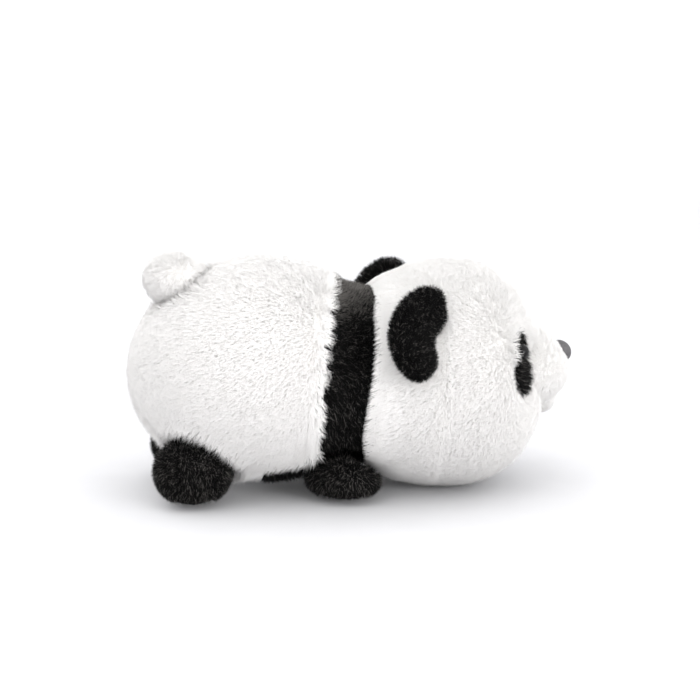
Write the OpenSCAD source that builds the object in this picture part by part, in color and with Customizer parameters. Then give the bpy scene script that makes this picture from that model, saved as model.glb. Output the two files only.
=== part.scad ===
// A plush panda lying on its belly: sewn plush panels over fibre filling, with safety eyes and nose.
// X runs forward from rump to nose, Y to the animal's left and Z up from the surface it lies on.
// Every cover is a thick sheet, backing cloth plus pile, so its outer face is where the fur ends.

/* [Body] */
// Middle of the body along X, behind the middle of the whole toy
body_x = -50; // [-52:0.5:-48]
// Half length of the body
body_half_l = 74; // [73:0.5:76]
// Half width of the body
body_half_w = 62; // [59:0.5:64]
// Half height of the body
body_half_h = 63; // [61:0.5:64]
// Gap between the belly and the surface
belly_gap = 4; // [3:0.5:6]
// Angle from the nose direction at which the black shoulder band ends at the sides
band_angle = 66; // [63:1:68]
// How much nearer the nose the band ends on the back
band_lift = 13; // [8:1:15]
// Angle from the nose direction at which the black chest ends
chest_angle = 92; // [85:1:98]
// Angle round the body, from the top, at which the side panels end
side_angle = 141; // [137:1:143]

/* [Neck] */
// Middle of the ball-shaped neck along X
neck_x = -10; // [-11:0.5:-9]
// Radius of the ball-shaped front of the body
neck_r = 52.6; // [51.6:0.1:53]
// Room between the neck and the back of the head
neck_room = 1; // [0.8:0.1:1.4]
// Furthest the head turns to each side
turn_range = 6; // [4:1:9]

/* [Head] */
// Middle of the head along X
head_x = 53; // [52:0.5:54]
// Height of the middle of the head, and of the neck
head_z = 62.5; // [61.5:0.5:63]
// Half length of the head in front of its middle
head_front_l = 51.4; // [50:0.2:53]
// Half length of the head behind its middle, before the neck cuts it
head_rear_l = 62; // [60:0.5:63]
// How much longer it is at the cheeks, which hang back over the shoulder band
cheek_l = 16; // [10:1:18]
// Half width of the head
head_half_w = 65; // [62:0.5:68]
// Half height of the head
head_half_h = 63.2; // [63.1:0.1:64]
// How far behind the middle of the head its upright seam is
seam_back = 11; // [6:1:14]

/* [Muzzle] */
// Half length, half width and half height of the muzzle
muzzle_half = [29, 38, 24];
// Middle of the muzzle
muzzle_at = [91, 0, 66];
// Half length, half width and half height of the chin
chin_half = [12, 15, 10];
// Middle of the chin
chin_at = [103, 0, 47];
// Width of the nose
nose_w = 17; // [14:0.5:19]
// Height of the nose
nose_h = 12.5; // [11:0.5:14]

/* [Eyes] */
// Diameter of an eye
eye_d = 8.5; // [7:0.5:9.5]
// Angle of an eye from the nose direction
eye_angle = 54.5; // [52.5:0.5:56.5]
// Angle of an eye round the head, from the top
eye_turn = 66; // [63:1:69]
// How deep the hollow is in which an eye lies, beside the muzzle
hollow_depth = 6.5; // [5.5:0.5:7.5]
// Middle of the hollow: angle from the nose direction, and round the head from the top
hollow_at = [50, 72];
// Angles across and along the hollow at which it has levelled out by two thirds
hollow_half = [13, 26];
// Middle of the black patch: angle from the nose direction, and round the head from the top
patch_at = [54.5, 71.5];
// Angles that a patch spans to each side of its middle, along and across
patch_half = [19, 11.5];

/* [Ears] */
// Where the left ear's cup is centred on the head
ear_at = [43.5, 59, 88.5];
// Radius of the ear's cup where it is sewn on
ear_r = 18; // [17:0.5:19]
// How far the ear stands out of the head
ear_h = 19; // [16:0.5:21]
// Thickness of the ear
ear_t = 19; // [15:0.5:20]
// How much the cup widens for each millimetre it stands out
ear_flare = 0.75; // [0.5:0.05:0.8]
// Angle of the middle of the ear round its cup, up from straight back
ear_mid = 15; // [5:1:25]
// Half of the angle that the ear spans round its cup
ear_span = 70; // [60:1:80]

/* [Legs] */
// Middle of the left hind leg
hind_at = [-90, 32, 19];
// Half length, half width and half height of a hind leg before its sole is flattened
hind_half = [22.5, 17.5, 20.5];
// Middle of the left front leg
front_at = [-10.5, 33, 13];
// Half length, half width and half height of a front leg before its sole is flattened
front_half = [22.5, 16.5, 14];
// Angle that the front legs turn outward
front_yaw = 20; // [10:1:25]

/* [Tail] */
// Middle of the tail
tail_at = [-97, 0, 117.5];
// Half length, half width and half height of the tail
tail_half = [18, 18, 15.5];

/* [Plush cloth] */
// Thickness of the long-pile cloth of body and head, backing and pile together
cloth_t = 6; // [5:0.5:7]
// Thickness of the shorter-pile cloth of muzzle, legs and tail
short_t = 4.5; // [4:0.5:5]
// Gap between a cover and its filling
gap = 0.15; // [0.1:0.05:0.3]

/* [Hidden] */

WHITE = [0.95, 0.95, 0.93];
BLACK = [0.06, 0.06, 0.065];
FIBRE = [0.9, 0.9, 0.88];
PLASTIC = [0.13, 0.13, 0.14];
CLEAR = [0.8, 0.8, 0.78];
FAR = 1000;
BODY = [body_x, 0, belly_gap + body_half_h];
BODY_HALF = [body_half_l, body_half_w, body_half_h];
NECK = [neck_x, 0, head_z];
HEAD = [head_x, 0, head_z];
SOCKET_R = neck_r + neck_room;
SEAM_X = head_x - seam_back;
// The ball takes over from the body's own outline along this stretch of X
BLEND_FROM = neck_x - 6;
BLEND_LENGTH = 12;
// The front rim of the shoulder band, and of the neck filling in front of it
BAND_FRONT = 34;
NECK_RIM = 53 - turn_range;
// Room that the swinging legs and tail need in the body
FRONT_ROOM = [3.8, 1.6, 3.8];
CHEEK_ROOM = 3.2;
HIND_ROOM = [3.8, 1.6, 3.8];
TAIL_ROOM = [4.3, 1.6, 4.3];
TAIL_OUT = [-0.69, 0, 0.724];
// Slack between the muzzle's cover and its filling, over and above the gap
MUZZLE_SLACK = 0.6;

// Grids of directions: a pole, the direction of column 0 and the direction a quarter turn on
function poles(axis, first) = [axis, first, cross(first, axis)];
FORWARD = poles([1, 0, 0], [0, 0, 1]);
DOWN = poles([0, 0, -1], [1, 0, 0]);
TAILWARD = poles(TAIL_OUT / norm(TAIL_OUT), [0, 1, 0]);
function ray(grid, w, s) = cos(w) * grid[0] + sin(w) * (cos(s) * grid[1] + sin(s) * grid[2]);
function tilted(grid, w, s) = poles(ray(grid, w, s), ray(grid, w + 90, s));

EYE_GRID = tilted(FORWARD, eye_angle, eye_turn);
PATCH_GRID = tilted(FORWARD, patch_at.x, patch_at.y);
HOLLOW_GRID = tilted(FORWARD, hollow_at.x, hollow_at.y);

function over(a, b) = [a.x / b.x, a.y / b.y, a.z / b.z];
function less(r, k) = r - [k, k, k];
function smooth(t) = let (c = max(0, min(1, t))) c * c * (3 - 2 * c);
function steps(from, to, n) = [for (i = [0 : n]) from + (to - from) * i / n];
function bisect(f, lo, hi, n = 22) = let (mid = (lo + hi) / 2)
    n == 0 ? mid : f(mid) > 0 ? bisect(f, mid, hi, n - 1) : bisect(f, lo, mid, n - 1);

function turned(p, a) = [p.x * cos(a) + p.y * sin(a), p.y * cos(a) - p.x * sin(a), p.z];

// Distances from o along d at which a ray enters and leaves an ellipsoid
function crossings(o, d, c, r) =
    let (q = over(o - c, r), w = over(d, r), a = w * w, b = q * w, s = b * b - a * (q * q - 1))
    s < 0 || sqrt(s) < b ? [FAR, 0] : [(-b - sqrt(s)) / a, (sqrt(s) - b) / a];
function way_in(o, d, c, r) = crossings(o, d, c, r)[0];
function way_out(o, d, c, r) = crossings(o, d, c, r)[1];
function ball(r) = [r, r, r];

// Reach of each shape from its middle along d, k under its outer face
function body_reach(d, k) =
    let (
        outline = way_out(BODY, d, BODY, less(BODY_HALF, k)),
        round_front = way_out(BODY, d, NECK, ball(neck_r - k)),
        t = smooth(((BODY + round_front * d).x - BLEND_FROM) / BLEND_LENGTH),
        pockets = [for (side = [1, -1], p = [
            [front_at, front_half + FRONT_ROOM, front_yaw], [hind_at, hind_half + HIND_ROOM, 0]])
            way_in(turned(BODY - [p[0].x, side * p[0].y, p[0].z], side * p[2]), turned(d, side * p[2]),
                [0, 0, 0], less(p[1], -k))],
        tail_pocket = way_in(BODY, d, tail_at, less(tail_half + TAIL_ROOM, -k))
    )
    min(outline * (1 - t) + round_front * t, min(pockets), tail_pocket);
function cheek(s) = cheek_l * exp(-pow((abs(s) - 115) / 38, 2));
function head_outline(x, s) = x > 0 ? [head_front_l, 2.2] : [head_rear_l + cheek(s), 2.5];
// An eye's hollow, the same on both sides of the head
function hollow(d) =
    let (p = [d.x, abs(d.y), d.z])
    hollow_depth * exp(-pow(atan2(p * HOLLOW_GRID[1], p * HOLLOW_GRID[0]) / hollow_half.x, 2)
        - pow(atan2(p * HOLLOW_GRID[2], p * HOLLOW_GRID[0]) / hollow_half.y, 2));
function head_reach(d, k) =
    let (
        o = head_outline(d.x, atan2(d.y, d.z)),
        level = norm([d.y / (head_half_w - k), d.z / (head_half_h - k)]),
        outline = pow(pow(abs(d.x) / (o[0] - k), o[1]) + pow(level, o[1]), -1 / o[1]) - hollow(d)
    )
    d.z < 0 ? min(outline, (head_z - k) / -d.z) : outline;
// Radius of the head in the plane x, in the direction s round it
function head_radius(x, s, k) =
    let (
        o = head_outline(x - head_x, s > 180 ? s - 360 : s),
        part = pow(max(0, 1 - pow(abs(x - head_x) / (o[0] - k), o[1])), 1 / o[1]),
        outline = part / norm([sin(s) / (head_half_w - k), cos(s) / (head_half_h - k)])
    )
    cos(s) < 0 ? min(outline, (head_z - k) / -cos(s)) : outline;
function muzzle_reach(d, k) = way_out(HEAD, d, muzzle_at, less(muzzle_half, k));
function chin_reach(d) = way_out(HEAD, d, chin_at, chin_half);
function face_reach(d, k) = max(head_reach(d, k), muzzle_reach(d, k));
function under_head(p, k) =
    head_radius(p.x, atan2(p.y, p.z - head_z), -CHEEK_ROOM - k) - norm([p.y, p.z - head_z]);
// A leg is dented where the cheek lies over it
function leg_reach(d, k, middle, half, yaw) =
    let (
        outline = way_out([0, 0, 0], turned(d, yaw), [0, 0, 0], less(half, k)),
        above = d.z < 0 ? min(outline, (middle.z - k) / -d.z) : outline
    )
    under_head(middle + above * d, k) < 0 ? above
        : bisect(function(t) under_head(middle + t * d, k), 0, above);

// Borders, as angles from the nose direction for column s, seen from the neck's or the head's middle
function outside_neck(x, s, k) = head_radius(x, s, k) - sqrt(SOCKET_R * SOCKET_R - pow(x - neck_x, 2));
function rim_x(s, k) = bisect(function(x) -outside_neck(x, s, k), neck_x + 5, SEAM_X);
function muzzle_rim(s) =
    bisect(function(w) let (d = ray(FORWARD, w, s)) muzzle_reach(d, 0) - head_reach(d, 0), 4, 60);
function seam_rim(s, k) = atan2(head_radius(SEAM_X, s, k), -seam_back);

// Points of the head behind the seam, in the plane x, and of the socket that holds the neck
function head_point(x, s, k) = let (r = head_radius(x, s, k)) [x, r * sin(s), head_z + r * cos(s)];
function socket_point(w, s) = NECK + SOCKET_R * ray(FORWARD, w, s);

// Solids from rows of points. A row of one point is a tip. Columns run on round a closed solid.
function flat(rows) = [for (row = rows) each row];
function number(rows, i, j) = (i == 0 ? 0 : len(rows[0]) + (i - 1) * len(rows[1])) + j % len(rows[i]);
function side(rows, closed) = [
    for (i = [0 : len(rows) - 2], j = [0 : len(rows[1]) - (closed ? 1 : 2)])
        let (
            a = number(rows, i, j), b = number(rows, i + 1, j),
            c = number(rows, i + 1, j + 1), d = number(rows, i, j + 1)
        )
        for (t = [[a, b, c], [a, c, d]]) if (t[0] != t[1] && t[1] != t[2] && t[2] != t[0]) t
];
function border(rows, closed) =
    let (n = len(rows) - 1, m = len(rows[1]) - 1)
    concat(
        [if (len(rows[0]) > 1) for (j = [0 : m - (closed ? 0 : 1)])
            [number(rows, 0, j), number(rows, 0, j + 1)]],
        [if (len(rows[n]) > 1) for (j = [0 : m - (closed ? 0 : 1)])
            [number(rows, n, j + 1), number(rows, n, j)]],
        [if (!closed) for (i = [0 : n - 1]) [number(rows, i + 1, 0), number(rows, i, 0)]],
        [if (!closed) for (i = [0 : n - 1]) [number(rows, i, m), number(rows, i + 1, m)]]
    );
module filling(rings) polyhedron(flat(rings), side(rings, true));
module cover(outer, inner, closed = false) {
    n = len(flat(outer));
    polyhedron(concat(flat(outer), flat(inner)), concat(
        side(outer, closed),
        [for (t = side(inner, closed)) [t[2] + n, t[1] + n, t[0] + n]],
        [for (e = border(outer, closed)) each [[e[0], e[1], e[1] + n], [e[0], e[1] + n, e[0] + n]]]
    ));
}
function row(middle, grid, w, columns, reach) =
    [for (s = columns) let (d = ray(grid, w, s)) middle + reach(d) * d];
function tip(middle, grid, w, reach) = row(middle, grid, w, [0], reach);
function rings(n) = [for (j = [0 : n - 1]) 360 * j / n];
module mirrored() mirror([0, 1, 0]) children();

// Body. Its covers and filling share one grid of rows and columns, so that their faces are parallel.
BAND_ROWS = 6;
CHEST_ROWS = 10;
BODY_ROWS = 21;
LEFT_COLUMNS = steps(0, side_angle, 17);
RIGHT_COLUMNS = steps(360 - side_angle, 360, 17);
UNDER_COLUMNS = steps(side_angle, 360 - side_angle, 12);
// Angles from the nose direction: the band's front rim, its rear rim, and row i of column s
function front_rim(s) = BAND_FRONT - 6 * max(0, cos(s));
function band_rim(s) = band_angle - band_lift * pow(abs(cos(s / 2)), 6);
function between(a, b, i, n) = a + (b - a) * i / n;
function body_row(i, s) =
    i <= BAND_ROWS ? between(front_rim(s), band_rim(s), i, BAND_ROWS)
    : i <= CHEST_ROWS ? between(band_rim(s), chest_angle, i - BAND_ROWS, CHEST_ROWS - BAND_ROWS)
    : between(chest_angle, 180, i - CHEST_ROWS, BODY_ROWS - CHEST_ROWS);
function body_points(i, columns, k) =
    [for (s = i == BODY_ROWS ? [0] : columns)
        let (d = ray(FORWARD, body_row(i, s), s)) BODY + body_reach(d, k) * d];
module body_cover(from, to, columns) {
    function face(k) = [for (i = [from : to]) body_points(i, columns, k)];
    cover(face(0), face(cloth_t));
}
module body_panel_left() color(WHITE) body_cover(BAND_ROWS, BODY_ROWS, LEFT_COLUMNS);
module body_panel_right() color(WHITE) body_cover(BAND_ROWS, BODY_ROWS, RIGHT_COLUMNS);
module belly_panel() color(WHITE) body_cover(CHEST_ROWS, BODY_ROWS, UNDER_COLUMNS);
module chest_panel() color(BLACK) body_cover(0, CHEST_ROWS, UNDER_COLUMNS);
module shoulder_band_left() color(BLACK) body_cover(0, BAND_ROWS, LEFT_COLUMNS);
module shoulder_band_right() color(BLACK) body_cover(0, BAND_ROWS, RIGHT_COLUMNS);
module body_stuffing() {
    k = cloth_t + gap;
    columns = [for (c = [LEFT_COLUMNS, UNDER_COLUMNS, RIGHT_COLUMNS]) for (i = [0 : len(c) - 2]) c[i]];
    front = function(t) [for (s = columns)
        let (d = ray(FORWARD, front_rim(s) * t, s)) BODY + body_reach(d, k) * d];
    color(FIBRE) filling(concat(
        [tip(BODY, FORWARD, 0, function(d) body_reach(d, k)), front(0.5)],
        [for (i = [0 : BODY_ROWS]) body_points(i, columns, k)]
    ));
}
module neck_stuffing() {
    function face(r) = [for (w = steps(0, NECK_RIM, 5))
        w == 0 ? tip(NECK, FORWARD, w, function(d) r) : row(NECK, FORWARD, w, rings(20), function(d) r)];
    color(FIBRE) cover(face(neck_r), face(neck_r - cloth_t + 0.5), closed = true);
}

// Head
module head_back(columns) {
    function face(k) = [for (t = steps(0, 1, 7)) [for (s = columns)
        head_point(SEAM_X + (rim_x(s, k) - SEAM_X) * t, s, k)]];
    cover(face(0), face(cloth_t));
}
module head_back_left() color(WHITE) head_back(steps(0, 180, 16));
module head_back_right() color(WHITE) head_back(steps(180, 360, 16));
module face_panel(columns) {
    function face(k) = [for (t = steps(0, 1, 9)) [for (s = columns)
        let (d = ray(FORWARD, muzzle_rim(s) + (seam_rim(s, k) - muzzle_rim(s)) * t, s))
        HEAD + face_reach(d, k) * d]];
    cover(face(0), face(cloth_t));
}
module face_panel_left() color(WHITE) face_panel(steps(0, 180, 16));
module face_panel_right() color(WHITE) face_panel(steps(180, 360, 16));
module muzzle_cover() {
    function face(k) = concat([tip(HEAD, FORWARD, 0, function(d) face_reach(d, k))],
        [for (t = steps(1 / 6, 1, 5)) [for (s = rings(32))
            let (d = ray(FORWARD, muzzle_rim(s) * t, s)) HEAD + face_reach(d, k) * d]]);
    color(WHITE) cover(face(0), face(short_t), closed = true);
}
// A pad laid on the head: out to where only edge_t of it is left
module pad(grid, outside, inside, widest, edge_t, rows, columns) {
    function rim(s) =
        bisect(function(w) let (d = ray(grid, w, s)) outside(d) - inside(d) - edge_t, 1, widest);
    function face(reach) = concat([tip(HEAD, grid, 0, reach)],
        [for (t = steps(1 / rows, 1, rows - 1)) [for (s = rings(columns))
            let (d = ray(grid, rim(s) * t, s)) HEAD + reach(d) * d]]);
    cover(face(outside), face(inside), closed = true);
}
module muzzle_stuffing() color(FIBRE) pad(FORWARD,
    function(d) muzzle_reach(d, short_t + gap + MUZZLE_SLACK), function(d) head_reach(d, cloth_t), 50, 1, 5, 24);
module chin_pad() color(WHITE) pad(tilted(FORWARD, 20, 180),
    function(d) chin_reach(d), function(d) face_reach(d, -gap), 30, 0.6, 4, 20);
module head_stuffing() {
    k = cloth_t + gap;
    columns = rings(32);
    function rim_angle(s) = acos((rim_x(s, k) - neck_x) / SOCKET_R);
    color(FIBRE) filling(concat(
        [tip(HEAD, FORWARD, 0, function(d) head_reach(d, k))],
        [[for (s = columns) let (d = ray(FORWARD, muzzle_rim(s) / 2, s)) HEAD + head_reach(d, k) * d]],
        [for (t = steps(0, 1, 9)) [for (s = columns)
            let (d = ray(FORWARD, muzzle_rim(s) + (seam_rim(s, k) - muzzle_rim(s)) * t, s))
            HEAD + head_reach(d, k) * d]],
        [for (t = steps(1 / 7, 1, 6)) [for (s = columns)
            head_point(SEAM_X + (rim_x(s, k) - SEAM_X) * t, s, k)]],
        [for (t = steps(0.75, 0.25, 2)) [for (s = columns) socket_point(rim_angle(s) * t, s)]],
        [[socket_point(0, 0)]]
    ));
}

// Eyes and nose
PATCH_T = 2.2;
// Lower ends of the patches lean outward
PATCH_LEAN = 8;
module eye_patch_left() {
    function across(s) = 1 / norm([cos(s + PATCH_LEAN) / patch_half.y, sin(s + PATCH_LEAN) / patch_half.x]);
    // A patch stops where the muzzle rises out of the face
    function clear(d) = head_reach(d, 0) - muzzle_reach(d, 0) - 0.5;
    function rim(s) = bisect(function(w) clear(ray(PATCH_GRID, w, s)), 1, across(s));
    function face(k) = concat([tip(HEAD, PATCH_GRID, 0, function(d) head_reach(d, -k))],
        [for (t = steps(1 / 4, 1, 3)) [for (s = rings(24))
            let (d = ray(PATCH_GRID, rim(s) * t, s)) HEAD + head_reach(d, -k) * d]]);
    color(BLACK) cover(face(PATCH_T), face(gap), closed = true);
}
module eye_patch_right() mirrored() eye_patch_left();

SHANK_R = 1.6;
SHANK_L = 11;
WASHER_R = 5.5;
WASHER_T = 1.6;
EYE_RISE = 3;
EYE_SINK = 2.4;
EYE_BALL_R = (pow(eye_d / 2, 2) + pow(EYE_RISE, 2)) / (2 * EYE_RISE);
// Places children at the eye, with Z out of the face, on top of the patch
module at_eye() {
    d = EYE_GRID[0];
    out = over(d, [head_front_l * head_front_l, head_half_w * head_half_w, head_half_h * head_half_h]);
    translate(HEAD + (face_reach(d, -PATCH_T) - EYE_SINK) * d)
        rotate([0, acos(out.z / norm(out)), atan2(out.y, out.x)]) children();
}
module eye_left() color(PLASTIC) at_eye() {
    intersection() {
        translate([0, 0, EYE_RISE - EYE_BALL_R]) sphere(r = EYE_BALL_R, $fn = 48);
        cylinder(r = eye_d, h = EYE_RISE + 1, $fn = 48);
    }
    translate([0, 0, -SHANK_L]) cylinder(r = SHANK_R, h = SHANK_L + 0.5, $fn = 32);
}
module eye_right() mirrored() eye_left();
module washer(depth) translate([0, 0, -depth]) difference() {
    cylinder(r = WASHER_R, h = WASHER_T, $fn = 48);
    translate([0, 0, -1]) cylinder(r = SHANK_R + 0.05, h = WASHER_T + 2, $fn = 32);
}
module eye_washer_left() color(CLEAR) at_eye() washer(9.5);
module eye_washer_right() mirrored() eye_washer_left();

NOSE_DEPTH = 5.5;
NOSE_TILT = 64;
module at_nose() translate([116.6, 0, 73]) rotate([0, NOSE_TILT, 0]) children();
module nose() color(PLASTIC) at_nose() {
    intersection() {
        scale([nose_h / 2, nose_w / 2, NOSE_DEPTH]) sphere(r = 1, $fn = 48);
        translate([0, 0, 10 - 2]) cube(20, center = true);
    }
    translate([0, 0, -SHANK_L - 1]) cylinder(r = SHANK_R, h = SHANK_L, $fn = 32);
}
module nose_washer() color(CLEAR) at_nose() washer(10);

// Ears: two layers of cloth, bent round a cup that opens forward
// Ears lean back a little, as the head narrows toward the neck
EAR_NORMAL = [-0.0012, ear_at.y / pow(head_half_w, 2), (ear_at.z - head_z) / pow(head_half_h, 2)];
EAR_OUT = EAR_NORMAL / norm(EAR_NORMAL);
EAR_UP = let (up = cross(EAR_OUT, [-1, 0, 0])) up / norm(up);
EAR_BACK = cross(EAR_UP, EAR_OUT);
EAR_BASE = 0.8;
EAR_END = 1.06;
// A point of the ear: part a from its lower end to its upper, part t from base to rim, off its middle sheet
function ear_point(a, t, off) =
    let (
        angle = ear_mid + a * ear_span,
        base = EAR_BASE + 0.9 * (1 - cos(a * ear_span)),
        w = base + (ear_h * sqrt(1 - pow(a / EAR_END, 2)) - base) * t
    )
    ear_at + w * EAR_OUT + (ear_r + w * ear_flare + off) * (cos(angle) * EAR_BACK + sin(angle) * EAR_UP);
module ear_layer(side) {
    function thick(a, t) = (ear_t / 2 - gap) * (1 - 0.7 * pow(t, 3)) * (1 - 0.4 * pow(abs(a), 8));
    function face(k) = [for (t = steps(0, 1, 6)) [for (a = steps(-1, 1, 14))
        ear_point(a, t, side * (gap + k * thick(a, t)))]];
    color(BLACK) cover(face(side > 0 ? 1 : 0), face(side > 0 ? 0 : 1));
}
module ear_back_left() ear_layer(1);
module ear_back_right() mirrored() ear_back_left();
module ear_front_left() ear_layer(-1);
module ear_front_right() mirrored() ear_front_left();

// Legs, open at the top where they are sewn to the belly
LEG_OPEN = 150;
LEG_COLUMNS = rings(24);
module leg_cover(middle, half, yaw) {
    function face(k) =
        let (reach = function(d) leg_reach(d, k, middle, half, yaw))
        concat([tip(middle, DOWN, 0, reach)],
            [for (w = steps(18, LEG_OPEN, 8)) row(middle, DOWN, w, LEG_COLUMNS, reach)]);
    color(BLACK) cover(face(0), face(short_t), closed = true);
}
module leg_stuffing(middle, half, yaw) {
    reach = function(d) leg_reach(d, short_t + gap, middle, half, yaw);
    color(FIBRE) filling(concat([tip(middle, DOWN, 0, reach)],
        [for (w = concat(steps(18, LEG_OPEN, 8), [165])) row(middle, DOWN, w, LEG_COLUMNS, reach)],
        [tip(middle, DOWN, 180, reach)]));
}
module front_leg_cover_left() leg_cover(front_at, front_half, front_yaw);
module front_leg_cover_right() mirrored() front_leg_cover_left();
module front_leg_stuffing_left() leg_stuffing(front_at, front_half, front_yaw);
module front_leg_stuffing_right() mirrored() front_leg_stuffing_left();
module hind_leg_cover_left() leg_cover(hind_at, hind_half, 0);
module hind_leg_cover_right() mirrored() hind_leg_cover_left();
module hind_leg_stuffing_left() leg_stuffing(hind_at, hind_half, 0);
module hind_leg_stuffing_right() mirrored() hind_leg_stuffing_left();

// Tail
function tail_reach(d, k) = way_out(tail_at, d, tail_at, less(tail_half, k));
module tail_cover() {
    function face(k) = concat([tip(tail_at, TAILWARD, 0, function(d) tail_reach(d, k))],
        [for (w = steps(18, 130, 7)) row(tail_at, TAILWARD, w, rings(24), function(d) tail_reach(d, k))]);
    color(WHITE) cover(face(0), face(short_t), closed = true);
}
module tail_stuffing() {
    reach = function(d) tail_reach(d, short_t + gap);
    color(FIBRE) filling([for (w = steps(0, 180, 9))
        w % 180 == 0 ? tip(tail_at, TAILWARD, w, reach) : row(tail_at, TAILWARD, w, rings(18), reach)]);
}

body_panel_left();
body_panel_right();
belly_panel();
chest_panel();
shoulder_band_left();
shoulder_band_right();
body_stuffing();
neck_stuffing();
head_back_left();
head_back_right();
face_panel_left();
face_panel_right();
muzzle_cover();
muzzle_stuffing();
chin_pad();
head_stuffing();
eye_patch_left();
eye_patch_right();
eye_left();
eye_right();
eye_washer_left();
eye_washer_right();
nose();
nose_washer();
ear_back_left();
ear_back_right();
ear_front_left();
ear_front_right();
front_leg_cover_left();
front_leg_cover_right();
front_leg_stuffing_left();
front_leg_stuffing_right();
hind_leg_cover_left();
hind_leg_cover_right();
hind_leg_stuffing_left();
hind_leg_stuffing_right();
tail_cover();
tail_stuffing();
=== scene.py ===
"""A plush panda lying on its belly: sewn backing cloth over filling, with the pile as real fibres.

The outlines repeat the part's own formulas, in millimetres, with the cloth laid a pile's length under the
CAD's outer faces. Every piece takes the place of its CAD node and rides on the same body.
"""

import math

import bmesh
import bpy
import numpy as np
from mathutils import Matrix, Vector


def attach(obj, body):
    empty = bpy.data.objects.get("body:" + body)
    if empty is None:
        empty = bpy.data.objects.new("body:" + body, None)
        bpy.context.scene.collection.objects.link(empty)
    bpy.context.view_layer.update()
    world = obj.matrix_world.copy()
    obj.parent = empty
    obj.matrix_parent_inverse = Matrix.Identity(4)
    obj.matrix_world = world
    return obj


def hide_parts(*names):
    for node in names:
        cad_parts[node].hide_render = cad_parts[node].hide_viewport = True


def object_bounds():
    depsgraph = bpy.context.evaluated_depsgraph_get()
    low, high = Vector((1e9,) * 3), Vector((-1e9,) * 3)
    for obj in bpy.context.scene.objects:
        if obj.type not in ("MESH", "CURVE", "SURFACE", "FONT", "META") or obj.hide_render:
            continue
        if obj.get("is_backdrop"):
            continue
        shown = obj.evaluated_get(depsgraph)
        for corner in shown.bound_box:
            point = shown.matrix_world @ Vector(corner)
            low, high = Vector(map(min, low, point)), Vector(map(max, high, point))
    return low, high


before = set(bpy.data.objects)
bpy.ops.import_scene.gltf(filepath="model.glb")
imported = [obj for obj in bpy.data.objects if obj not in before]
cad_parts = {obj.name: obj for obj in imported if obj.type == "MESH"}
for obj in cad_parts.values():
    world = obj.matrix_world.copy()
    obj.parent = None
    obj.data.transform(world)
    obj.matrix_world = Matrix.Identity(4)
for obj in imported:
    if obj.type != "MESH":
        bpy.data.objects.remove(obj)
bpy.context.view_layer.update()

# A millimetre in metres, and a distance in millimetres beyond everything
MM = 0.001
FAR = 1000.0
# Points closer than this, in metres, are one
TOUCHING = 1e-6

# The part's dimensions, in millimetres
BODY = np.array([-50.0, 0.0, 67.0])
BODY_HALF = np.array([74.0, 62.0, 63.0])
NECK = np.array([-10.0, 0.0, 62.5])
NECK_R, SOCKET_R, NECK_RIM = 52.6, 53.6, 47.0
BLEND_FROM, BLEND_LENGTH = -16.0, 12.0
BAND_FRONT, BAND_ANGLE, BAND_LIFT, CHEST_ANGLE, SIDE_ANGLE = 34.0, 66.0, 13.0, 92.0, 141.0
HEAD = np.array([53.0, 0.0, 62.5])
HEAD_FRONT, HEAD_REAR, CHEEK = (51.4, 2.2), (62.0, 2.5), 16.0
HEAD_WIDE, HEAD_HIGH = 65.0, 63.2
SEAM_X = 42.0
MUZZLE, MUZZLE_HALF = np.array([91.0, 0.0, 66.0]), np.array([29.0, 38.0, 24.0])
CHIN, CHIN_HALF = np.array([103.0, 0.0, 47.0]), np.array([12.0, 15.0, 10.0])
EYE_ANGLE, EYE_TURN, EYE_R, EYE_RISE, EYE_SINK = 54.5, 66.0, 4.25, 3.0, 2.4
# The eyes and the nose sit this much deeper and lower than the CAD's, as the real ones do in their pile
EYE_DEEPER, NOSE_LOWER = 1.0, 1.1
HOLLOW_ANGLE, HOLLOW_TURN, HOLLOW_DEPTH, HOLLOW_HALF = 50.0, 72.0, 6.5, (13.0, 26.0)
PATCH_ANGLE, PATCH_TURN, PATCH_HALF, PATCH_LEAN = 54.5, 71.5, (19.0, 11.5), 8.0
NOSE, NOSE_HALF, NOSE_TILT = np.array([116.6, 0.0, 73.0 - NOSE_LOWER]), np.array([6.25, 8.5, 5.5]), 64.0
EAR, EAR_R, EAR_H, EAR_T = np.array([43.5, 59.0, 88.5]), 18.0, 19.0, 19.0
EAR_FLARE, EAR_MID, EAR_SPAN, EAR_BASE, EAR_END = 0.75, 15.0, 70.0, 0.8, 1.06
# The shares of the ear's height and length that its cloth fills, and the room for pile on either face
EAR_OUT, EAR_ALONG, EAR_PILE = 0.8, 0.86, 3.6
HIND, HIND_HALF = np.array([-90.0, 32.0, 19.0]), np.array([22.5, 17.5, 20.5])
FRONT, FRONT_HALF, FRONT_YAW = np.array([-10.5, 33.0, 13.0]), np.array([22.5, 16.5, 14.0]), 20.0
CHEEK_ROOM = 3.2
TAIL, TAIL_HALF = np.array([-97.0, 0.0, 117.5]), np.array([18.0, 18.0, 15.5])
TAIL_OUT = np.array([-0.69, 0.0, 0.724])
POCKETS = (
    (FRONT, FRONT_HALF + (3.8, 1.6, 3.8), FRONT_YAW),
    (HIND, HIND_HALF + (3.8, 1.6, 3.8), 0.0),
)
TAIL_POCKET = TAIL_HALF + (4.3, 1.6, 4.3)

# How far the backing cloth lies under the ends of the pile, how thick it is, and its gap to the filling
LONG, SHORT, CLOTH_T, FILL_GAP = 5.0, 3.9, 0.9, 0.25
HEAD_DEPTH, CHIN_DEPTH = LONG - 0.7, 4.3
# Half widths of the grooves at the seams, and millimetres of cloth in a degree of the outlines
BODY_SEAM, HEAD_SEAM, BODY_DEGREE, HEAD_DEGREE = 2.6, 2.4, 1.15, 0.85
# Widths of the fibres on head, body, and eye patches and ears
HEAD_FIBRE, BODY_FIBRE, PATCH_FIBRE = 0.24, 0.25, 0.26
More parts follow.
